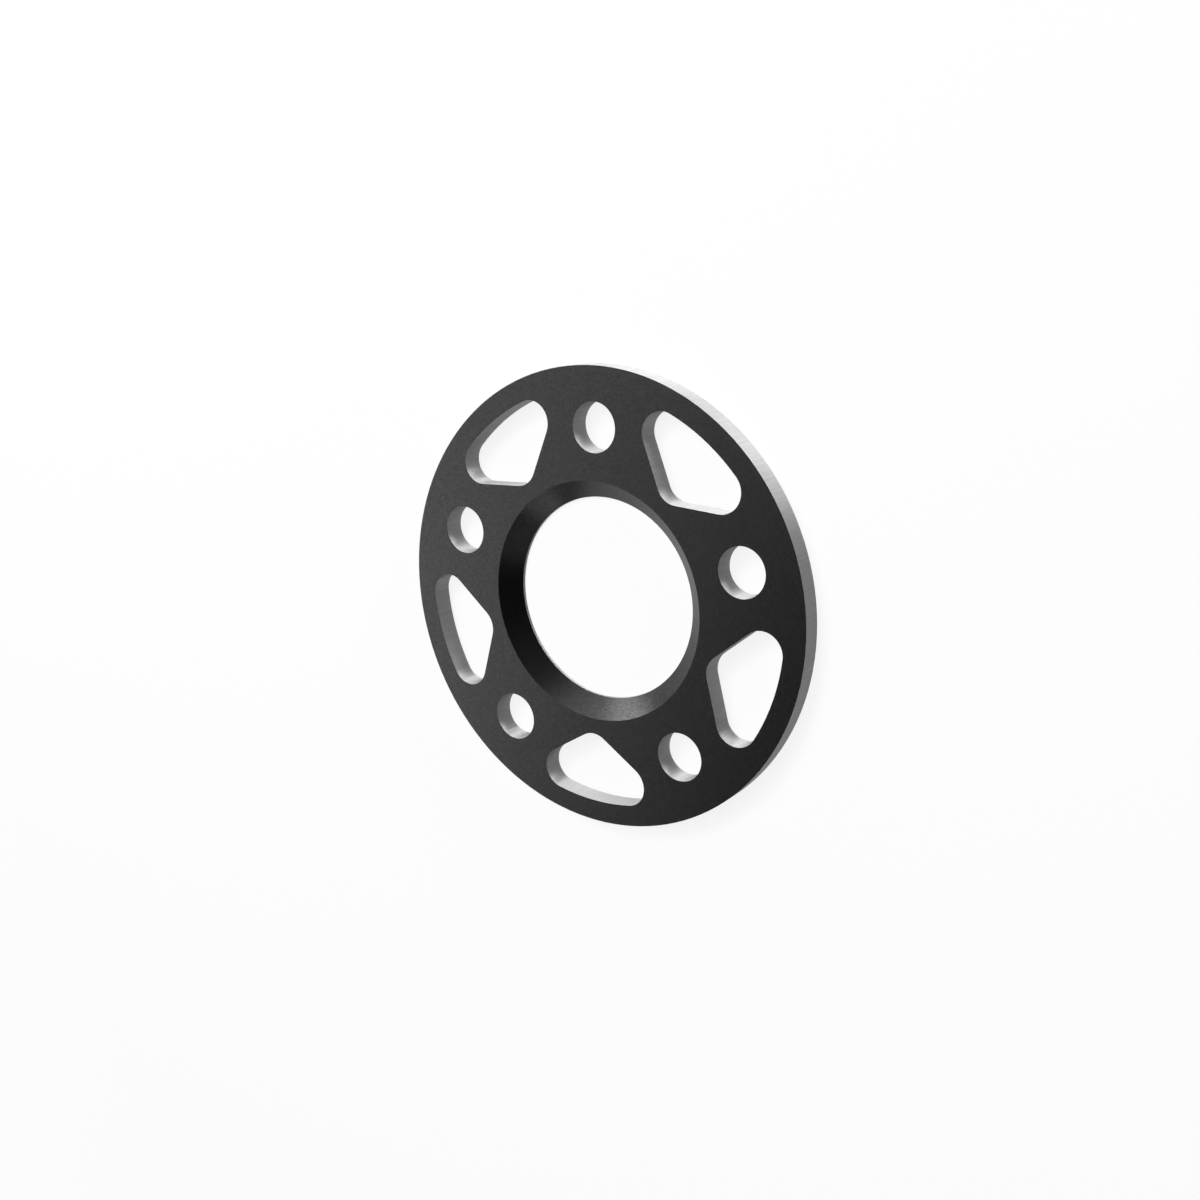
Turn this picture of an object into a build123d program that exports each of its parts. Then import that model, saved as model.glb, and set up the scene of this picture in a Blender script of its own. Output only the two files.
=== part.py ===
from build123d import *
import math
import os

# A wheel spacer: one disc of aluminium, turned and then milled, that is clamped
# between a hub and a wheel by the wheel bolts.
#
# Lengths are millimetres. The origin is the centre of the flat face that lies on
# the hub, Z is the axis of the disc, and the wheel side faces up. The first bolt
# hole lies on +Y.

# The turned disc
outer_diameter = 150.0
thickness = 7.0

# The bore, which fits over the centring ring of the hub. It is straight next to
# the hub face and opens towards the wheel in one wide bevel.
bore_diameter = 66.5
bore_land = 1.0
bevel_angle = 45.0

# The bolt holes
bolt_count = 5
bolt_circle = 112.0
bolt_hole_diameter = 16.0
first_bolt_angle = 90.0

# The windows, one midway between each two bolt holes: the metal left outside them,
# between them and the bevel, and between them and the bolt holes beside them
rim_width = 7.0
bore_ring_width = 5.25
bolt_web = 8.0
window_corner_radius = 7.0
# The corners take at most this share of a window's depth, so its sides stay straight
corner_share = 1 / 3

# What follows from these sizes
outer_radius = outer_diameter / 2
bore_radius = bore_diameter / 2
bevel_depth = thickness - bore_land
bevel_radius = bore_radius + bevel_depth * math.tan(math.radians(bevel_angle))
bolt_hole_radius = bolt_hole_diameter / 2
bolt_step = 360 / bolt_count
arc_radius = outer_radius - rim_width
point_radius = bevel_radius + bore_ring_width
corner_radius = min(window_corner_radius, (arc_radius - point_radius) * corner_share)
point_centre = point_radius + corner_radius


def turned_disc():
    """The blank as it leaves the lathe: a ring with the bore bevelled from the wheel side."""
    section = Polygon(
        (bore_radius, 0),
        (outer_radius, 0),
        (outer_radius, thickness),
        (bevel_radius, thickness),
        (bore_radius, bore_land),
        align=None,
    )
    return revolve(Plane.XZ * section, Axis.Z)


def window_side_angle():
    """Angle between the middle line of a window and either of its sides.

    A side touches the round point of the window and keeps the web's width from the
    bolt hole beside it, so it crosses between two circles and touches both.
    """
    half_step = math.radians(bolt_step / 2)
    across = bolt_circle / 2 * math.sin(half_step)
    along = bolt_circle / 2 * math.cos(half_step) - point_centre
    both_radii = corner_radius + bolt_hole_radius + bolt_web
    return math.atan2(across, along) - math.asin(both_radii / math.hypot(across, along))


def window():
    """One window: an arc inside the rim and two sides that meet in a point near the bore.

    Its middle line is X. The sharp figure is drawn first, then its corners are rounded.
    """
    angle = window_side_angle()
    sharp_point = point_centre - corner_radius / math.sin(angle)
    offset = sharp_point * math.sin(angle)
    side = math.sqrt(arc_radius**2 - offset**2) - sharp_point * math.cos(angle)
    point = Vector(sharp_point, 0)
    left = point + Vector(side * math.cos(angle), side * math.sin(angle))
    right = point + Vector(side * math.cos(angle), -side * math.sin(angle))
    outline = [
        Line(point, right),
        ThreePointArc(right, (arc_radius, 0), left),
        Line(left, point),
    ]
    sharp = make_face(outline)
    return fillet(sharp.vertices(), corner_radius)


def bolt_holes():
    """The round holes on the bolt circle, the first at the first bolt angle."""
    places = PolarLocations(bolt_circle / 2, bolt_count, start_angle=first_bolt_angle)
    return places * Circle(bolt_hole_radius)


def windows():
    """The windows, each turned to lie midway between two bolt holes."""
    first_angle = first_bolt_angle + bolt_step / 2
    return PolarLocations(0, bolt_count, start_angle=first_angle) * window()


def spacer():
    """The finished disc, with the holes and windows milled straight through."""
    openings = Sketch() + bolt_holes() + windows()
    return turned_disc() - extrude(openings, amount=thickness)


os.makedirs("parts", exist_ok=True)
export_step(spacer(), "parts/spacer_disc.step")
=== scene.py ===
# %% [markdown]
# A wheel spacer is a disc of aluminium that is clamped between a car's hub and its wheel
# and moves the wheel a few millimetres outwards. It is turned from bar, the bolt holes
# and windows are milled straight through it, and it is anodised black.
#
# The disc comes in as a finished CAD mesh, in metres, lying flat on its hub face with the
# wheel side up. Its shape is right, so nothing is modelled here. This lesson gives it its
# finish, a floor, lamps and a camera. The size of the disc is read from the mesh, and the
# camera aims at its top face, which its thickness gives.

# %% Load the disc
import math

import bpy
from mathutils import Matrix, Vector


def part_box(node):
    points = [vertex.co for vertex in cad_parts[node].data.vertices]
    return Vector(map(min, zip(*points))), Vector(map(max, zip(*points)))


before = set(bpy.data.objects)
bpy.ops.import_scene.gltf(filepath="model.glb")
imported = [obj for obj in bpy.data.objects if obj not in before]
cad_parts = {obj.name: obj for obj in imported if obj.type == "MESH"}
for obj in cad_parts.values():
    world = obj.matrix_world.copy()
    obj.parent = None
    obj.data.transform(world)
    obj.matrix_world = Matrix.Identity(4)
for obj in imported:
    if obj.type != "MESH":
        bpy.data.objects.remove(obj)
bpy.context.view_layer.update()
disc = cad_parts["spacer_disc"]
lowest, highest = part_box("spacer_disc")
mm = 0.001
across = highest.x - lowest.x
thickness = highest.z - lowest.z
print(f"the disc is {across / mm:.1f} mm across and {thickness / mm:.1f} mm thick")

# %% [markdown]
# Three small helpers serve every material. Colours are written as people pick them, as
# hex values for a screen, but a renderer adds up light, so each one is turned into linear
# light first. A material is a graph of nodes. The second helper adds any node with its
# settings and its inputs in one call, which keeps the graph readable as a recipe, and the
# third starts a material with nothing in it but its output.

# %% Colour and node helpers
def linear(hex_colour, alpha=1.0):
    """A screen colour such as "#404040" as linear light."""
    channels = [int(hex_colour[i : i + 2], 16) / 255 for i in (1, 3, 5)]
    return [c / 12.92 if c <= 0.04045 else ((c + 0.055) / 1.055) ** 2.4 for c in channels] + [alpha]


def add(tree, kind, inputs, **settings):
    """Adds a node. An input is given by name or number, as a value or as another node's output."""
    node = tree.nodes.new(kind)
    for name, value in settings.items():
        setattr(node, name, value)
    for name, value in inputs.items():
        if isinstance(value, bpy.types.NodeSocket):
            tree.links.new(value, node.inputs[name])
        else:
            node.inputs[name].default_value = value
    return node


def new_material(name):
    """An empty material, with its node tree and the output node that its shader goes to."""
    material = bpy.data.materials.new(name)
    material.use_nodes = True
    tree = material.node_tree
    tree.nodes.clear()
    return material, tree, add(tree, "ShaderNodeOutputMaterial", {})


print(f"mid grey #808080 is {linear('#808080')[0]:.3f} in linear light")

# %% [markdown]
# Black anodising grows a hard, clear layer of oxide out of the aluminium, and its pores
# are filled with black dye. The eye gets two things from it: almost no light comes back
# from inside, and the satin surface still mirrors the room. So it looks black where the
# room is dark, charcoal where a softbox stands, and grey where it is seen edge on.
#
# A metal shader with a dark colour does this. Its colour is what it mirrors head on, and
# edge on it turns paler by itself, as the real finish does. The alternative, a black
# plastic with a clear coat, would give harder and smaller reflections.
#
# Where the disc is cut straight through, and round its rim, the surface is not the same.
# The lathe and the cutters leave fine rings there, which spread its reflections along the
# axis. These walls are black anodised as well, but they are given a light grey colour,
# which is painted highlight: it makes them mirror far more light than the black faces do.
# So these walls run from dark grey to nearly white within a few millimetres, as they turn
# away from the light or towards it. One material covers both:
# the walls are the places where the surface normal has almost no part along the axis, and
# a later value that differs is a blend between the two. The bevel stands at 45 degrees,
# where that part is 0.7, so it counts as a face.

# %% Find the walls
surely_wall, surely_face = 0.1, 0.4
anodised, tree, output = new_material("black_anodised_aluminium")
place = add(tree, "ShaderNodeTexCoord", {})
normal = add(tree, "ShaderNodeSeparateXYZ", {0: place.outputs["Normal"]})
tilt = add(tree, "ShaderNodeMath", {0: normal.outputs["Z"]}, operation="ABSOLUTE")
wall = add(tree, "ShaderNodeMapRange", {
    "Value": tilt.outputs[0], "From Min": surely_wall, "From Max": surely_face,
    "To Min": 1.0, "To Max": 0.0,
})


def on_faces_and_walls(faces, walls):
    """A value that is one number on the faces and the bevel, and another on the walls."""
    blend = add(tree, "ShaderNodeMapRange", {"Value": wall.outputs[0], "To Min": faces, "To Max": walls})
    return blend.outputs[0]


upright = sum(abs(face.normal.z) < surely_wall for face in disc.data.polygons)
print(f"{upright} of the mesh's {len(disc.data.polygons)} faces are walls")

# %% [markdown]
# The grain of an etched and anodised face is only some hundredths of a millimetre wide,
# finer than a picture of the whole disc can show. It is drawn ten times as coarse, so
# that it is just visible. One noise serves every surface. It is stretched along the axis,
# so that on the flat faces it is an even grain, and on the walls it becomes fine lines
# along the axis, such as the teeth of a milling cutter leave when they chatter.

# %% Grain
grain_size = 0.35 * mm
line_length = 12 * mm
grain_depth = 0.02 * mm
stretched = add(tree, "ShaderNodeVectorMath", {
    0: place.outputs["Object"],
    1: (1 / grain_size, 1 / grain_size, 1 / line_length),
}, operation="MULTIPLY")
grain = add(tree, "ShaderNodeTexNoise", {
    "Vector": stretched.outputs[0], "Scale": 1.0, "Detail": 2.0, "Roughness": 0.6,
})
bump = add(tree, "ShaderNodeBump", {
    "Height": grain.outputs["Fac"], "Strength": 1.0, "Distance": grain_depth,
})
print(f"grain {grain_size / mm:.2f} mm wide, lines on the walls {line_length / mm:.0f} mm long")

# %% [markdown]
# Satin metal starts from a roughness of about 0.3, and the faces stay near that, with a
# near black dye. The walls are given a light grey colour instead, which is painted
# highlight: their black finish would mirror far less light. Their rings are far too fine
# to draw, so anisotropy stands for them. The tangent is the axis of the disc, and a
# highlight is stretched along it: a high roughness with full anisotropy is wide across the
# rings and narrow along them. That lets a wall mirror a lamp high above the disc, where a
# smooth wall would mirror nothing but the floor at its foot.
#
# The grain also makes the dye a little uneven, more on the faces than on the walls. The
# specular tint is a grey, because the dye keeps part of the light back even where the
# surface is seen edge on and a bare metal would turn white.

# %% Colour and gloss
face_dye = linear("#4c4c4c")
# The light grey wall colour is painted highlight: the walls are black anodised like the faces
wall_painted_highlight = linear("#bcbcbc")
# Sockets 6 and 7 of a Mix node, and its output 2, are the ones for colours
dye_and_painted_highlight = add(tree, "ShaderNodeMix", {"Factor": wall.outputs[0], 6: face_dye, 7: wall_painted_highlight}, data_type="RGBA")
middle_of_noise = 0.5
swing = add(tree, "ShaderNodeMath", {0: grain.outputs["Fac"], 1: middle_of_noise}, operation="SUBTRACT")
uneven = add(tree, "ShaderNodeMath", {
    0: swing.outputs[0], 1: on_faces_and_walls(faces=2.0, walls=0.45), 2: 1.0,
}, operation="MULTIPLY_ADD")
shade = add(tree, "ShaderNodeVectorMath", {0: dye_and_painted_highlight.outputs[2], 1: uneven.outputs[0]}, operation="MULTIPLY")
axis = add(tree, "ShaderNodeCombineXYZ", {"Z": 1.0})
shader = add(tree, "ShaderNodeBsdfPrincipled", {
    "Base Color": shade.outputs[0],
    "Metallic": 1.0,
    "Roughness": on_faces_and_walls(faces=0.25, walls=0.7),
    "Anisotropic": wall.outputs[0],
    "Tangent": axis.outputs[0],
    "Specular Tint": linear("#cccccc"),
    "Normal": bump.outputs[0],
})
tree.links.new(shader.outputs[0], output.inputs["Surface"])
for slot in disc.material_slots:
    slot.material = anodised
print(f"head on, the faces mirror {face_dye[0]:.0%} of the light and the walls {wall_painted_highlight[0]:.0%}")

# %% [markdown]
# The floor is a plain white sheet. It has to look white without so much light on it that
# the disc suffers. So it glows faintly, but only for rays from the camera and for the
# reflections in the metal. For all other rays it is a grey sheet that throws little light
# back on the walls of the disc, which keeps their dark sides dark. The shadow of the disc
# stays, only weaker. A ray that has passed through glass is treated like a reflection, so
# the same sheet also suits a part made of glass.
#
# Far from the disc the lamps hardly reach the floor. The glow rises a little there, so
# that no grey horizon shows behind the disc from a low angle.

# %% Floor
floor_size = 12.0
near, far = 0.4, 2.0
glow_near, glow_far = 0.85, 1.0
bpy.ops.mesh.primitive_plane_add(size=floor_size, location=(0, 0, 0))
floor = bpy.context.object
floor.name = "floor"
paper, tree, output = new_material("matt_white_paper")
ray = add(tree, "ShaderNodeLightPath", {})
seen = add(tree, "ShaderNodeMath", {
    0: ray.outputs["Is Camera Ray"], 1: ray.outputs["Is Glossy Ray"],
}, operation="MAXIMUM")
seen = add(tree, "ShaderNodeMath", {
    0: seen.outputs[0], 1: ray.outputs["Is Transmission Ray"],
}, operation="MAXIMUM")
spot = add(tree, "ShaderNodeTexCoord", {})
away = add(tree, "ShaderNodeVectorMath", {0: spot.outputs["Object"]}, operation="LENGTH")
rising = add(tree, "ShaderNodeMapRange", {
    "Value": away.outputs["Value"], "From Min": near, "From Max": far,
    "To Min": glow_near, "To Max": glow_far,
})
plain = add(tree, "ShaderNodeBsdfDiffuse", {"Color": linear("#7c7c7c")})
faint = add(tree, "ShaderNodeBsdfDiffuse", {"Color": linear("#707070")})
glow = add(tree, "ShaderNodeEmission", {"Color": linear("#ffffff"), "Strength": rising.outputs[0]})
lifted = add(tree, "ShaderNodeAddShader", {0: faint.outputs[0], 1: glow.outputs[0]})
sheet = add(tree, "ShaderNodeMixShader", {0: seen.outputs[0], 1: plain.outputs[0], 2: lifted.outputs[0]})
tree.links.new(sheet.outputs[0], output.inputs["Surface"])
floor.data.materials.append(paper)
print(f"floor {floor_size:.0f} m wide, its top at z = {floor.location.z:.0f}")

# %% [markdown]
# Dark satin metal is lit by what it mirrors, so each softbox is placed where one surface
# mirrors it towards the camera. The left one gives the face its slow change from charcoal
# to nearly black. The back one makes the light patch at the bottom of the bevel, and the
# low and right ones the faint one at its upper left. Between those two patches nothing
# stands at the height that the bevel mirrors, so it stays black there.
#
# The high and top softboxes reach down into the holes from the far side. Like the light
# in the photograph, they leave each hole bright at its bottom in the picture and dark on
# its left. The side and edge ones stand just above the floor, too low to reach into a
# hole, and light the part of the rim that fades to white at the upper right.
#
# A softbox is set by its brightness as seen in a mirror, where 1 is white. How far it
# lights a level white card follows from that, from the part of the sky that it fills and
# from its height. All together that card should come out a little below white.

# %% Lamps
lamp_distance = 1.5
card_levels = []


def direction(azimuth, elevation):
    """A unit vector, with the azimuth counted from +X towards +Y, in degrees."""
    a, e = math.radians(azimuth), math.radians(elevation)
    return Vector((math.cos(a) * math.cos(e), math.sin(a) * math.cos(e), math.sin(e)))


def softbox(name, azimuth, elevation, width, height, brightness):
    """A softbox aimed at the disc. Its brightness is what a mirror would show, with 1 as white."""
    lamp = bpy.data.lights.new(name, "AREA")
    lamp.shape = "RECTANGLE"
    lamp.size, lamp.size_y = width, height
    lamp.energy = brightness * math.pi * width * height
    thing = bpy.data.objects.new(name, lamp)
    bpy.context.scene.collection.objects.link(thing)
    towards = direction(azimuth, elevation)
    thing.location = towards * lamp_distance
    thing.rotation_euler = towards.to_track_quat("Z", "Y").to_euler()
    card_levels.append(brightness * width * height / lamp_distance**2 / math.pi * towards.z)


softbox("left_softbox", azimuth=199, elevation=36, width=0.65, height=0.4, brightness=0.52)
softbox("back_softbox", azimuth=145, elevation=8, width=0.9, height=0.42, brightness=2.95)
softbox("low_softbox", azimuth=276, elevation=10, width=0.85, height=0.4, brightness=0.57)
softbox("right_softbox", azimuth=308, elevation=26, width=0.8, height=0.45, brightness=0.22)
softbox("high_softbox", azimuth=118, elevation=48, width=0.8, height=0.4, brightness=11.0)
softbox("top_softbox", azimuth=120, elevation=68, width=0.75, height=0.75, brightness=4.4)
softbox("side_softbox", azimuth=65, elevation=4, width=0.7, height=0.24, brightness=16.0)
softbox("edge_softbox", azimuth=46, elevation=8, width=0.7, height=0.3, brightness=9.0)
print(f"{len(card_levels)} softboxes light a level card to {sum(card_levels):.2f} of white")

# %% [markdown]
# The world stands for the rest of the studio, and it is a different thing for each kind
# of ray. The camera sees plain white. The metal sees a white backdrop on the far side and
# a pale strip all round just above the floor, and above that a dark room, which is what
# makes the disc black. Every other ray finds a dim, even light that fills the shadows.

# %% World
room_light = 0.1
dark_room = 0.03
pale_strip = 0.45
strip_ends, strip_gone = 0.05, 0.38
backdrop_edge, backdrop_full = 0.0, 0.4
world = bpy.data.worlds.new("studio")
bpy.context.scene.world = world
world.use_nodes = True
tree = world.node_tree
tree.nodes.clear()
ray = add(tree, "ShaderNodeLightPath", {})
look = add(tree, "ShaderNodeTexCoord", {})
facing = add(tree, "ShaderNodeVectorMath", {
    0: look.outputs["Generated"], 1: direction(azimuth=172, elevation=-20),
}, operation="DOT_PRODUCT")
backdrop = add(tree, "ShaderNodeMapRange", {
    "Value": facing.outputs["Value"], "From Min": backdrop_edge, "From Max": backdrop_full,
}, interpolation_type="SMOOTHSTEP")
upwards = add(tree, "ShaderNodeSeparateXYZ", {0: look.outputs["Generated"]})
strip = add(tree, "ShaderNodeMapRange", {
    "Value": upwards.outputs["Z"], "From Min": strip_ends, "From Max": strip_gone,
    "To Min": pale_strip, "To Max": dark_room,
}, interpolation_type="SMOOTHSTEP")
studio = add(tree, "ShaderNodeMath", {0: backdrop.outputs[0], 1: strip.outputs[0]}, operation="MAXIMUM")
mirrored = add(tree, "ShaderNodeMath", {
    0: ray.outputs["Is Glossy Ray"], 1: ray.outputs["Is Transmission Ray"],
}, operation="MAXIMUM")
fill = add(tree, "ShaderNodeBackground", {"Color": linear("#ffffff"), "Strength": room_light})
around = add(tree, "ShaderNodeBackground", {"Color": linear("#ffffff"), "Strength": studio.outputs[0]})
white = add(tree, "ShaderNodeBackground", {"Color": linear("#ffffff"), "Strength": 1.0})
for_metal = add(tree, "ShaderNodeMixShader", {
    0: mirrored.outputs[0], 1: fill.outputs[0], 2: around.outputs[0],
})
for_camera = add(tree, "ShaderNodeMixShader", {
    0: ray.outputs["Is Camera Ray"], 1: for_metal.outputs[0], 2: white.outputs[0],
})
add(tree, "ShaderNodeOutputWorld", {"Surface": for_camera.outputs[0]})
print(f"with the room, the card comes to {sum(card_levels) + room_light:.2f} of white")

# %% [markdown]
# In the photograph the disc stands upright. This one lies on the floor, so the camera
# goes round with it: it looks down on the wheel side from the same 35 degrees to the
# right and 15 degrees above the disc's axis, with the first bolt hole towards the top of
# the picture. The round holes give these angles, because the flattening and the slant of
# each oval depend on them and on nothing else. The focal length follows from how much
# smaller the far holes look than the near ones. The camera aims a little above the centre
# of the disc and to the right of it, because the photograph is framed that way.

# %% Camera
turn, rise = math.radians(35), math.radians(15)
aim = Vector((2.437 * mm, 1.228 * mm, thickness))
camera_distance = 424.33 * mm
back = Vector((math.sin(turn) * math.cos(rise), math.sin(rise), math.cos(turn) * math.cos(rise)))
right = Vector((math.cos(turn), 0, -math.sin(turn)))
up = back.cross(right)
lens = bpy.data.cameras.new("camera")
lens.sensor_width = 36
lens.lens = 40
lens.clip_start = 0.01
lens.clip_end = 50
camera = bpy.data.objects.new("camera", lens)
bpy.context.scene.collection.objects.link(camera)
pointing = Matrix((right, up, back)).transposed().to_4x4()
camera.matrix_world = Matrix.Translation(aim + back * camera_distance) @ pointing
bpy.context.scene.camera = camera
bpy.context.scene.view_settings.view_transform = "Standard"
slope = math.degrees(math.asin(back.z))
print(f"the camera looks down at {slope:.0f} degrees from {camera_distance / mm:.0f} mm away")
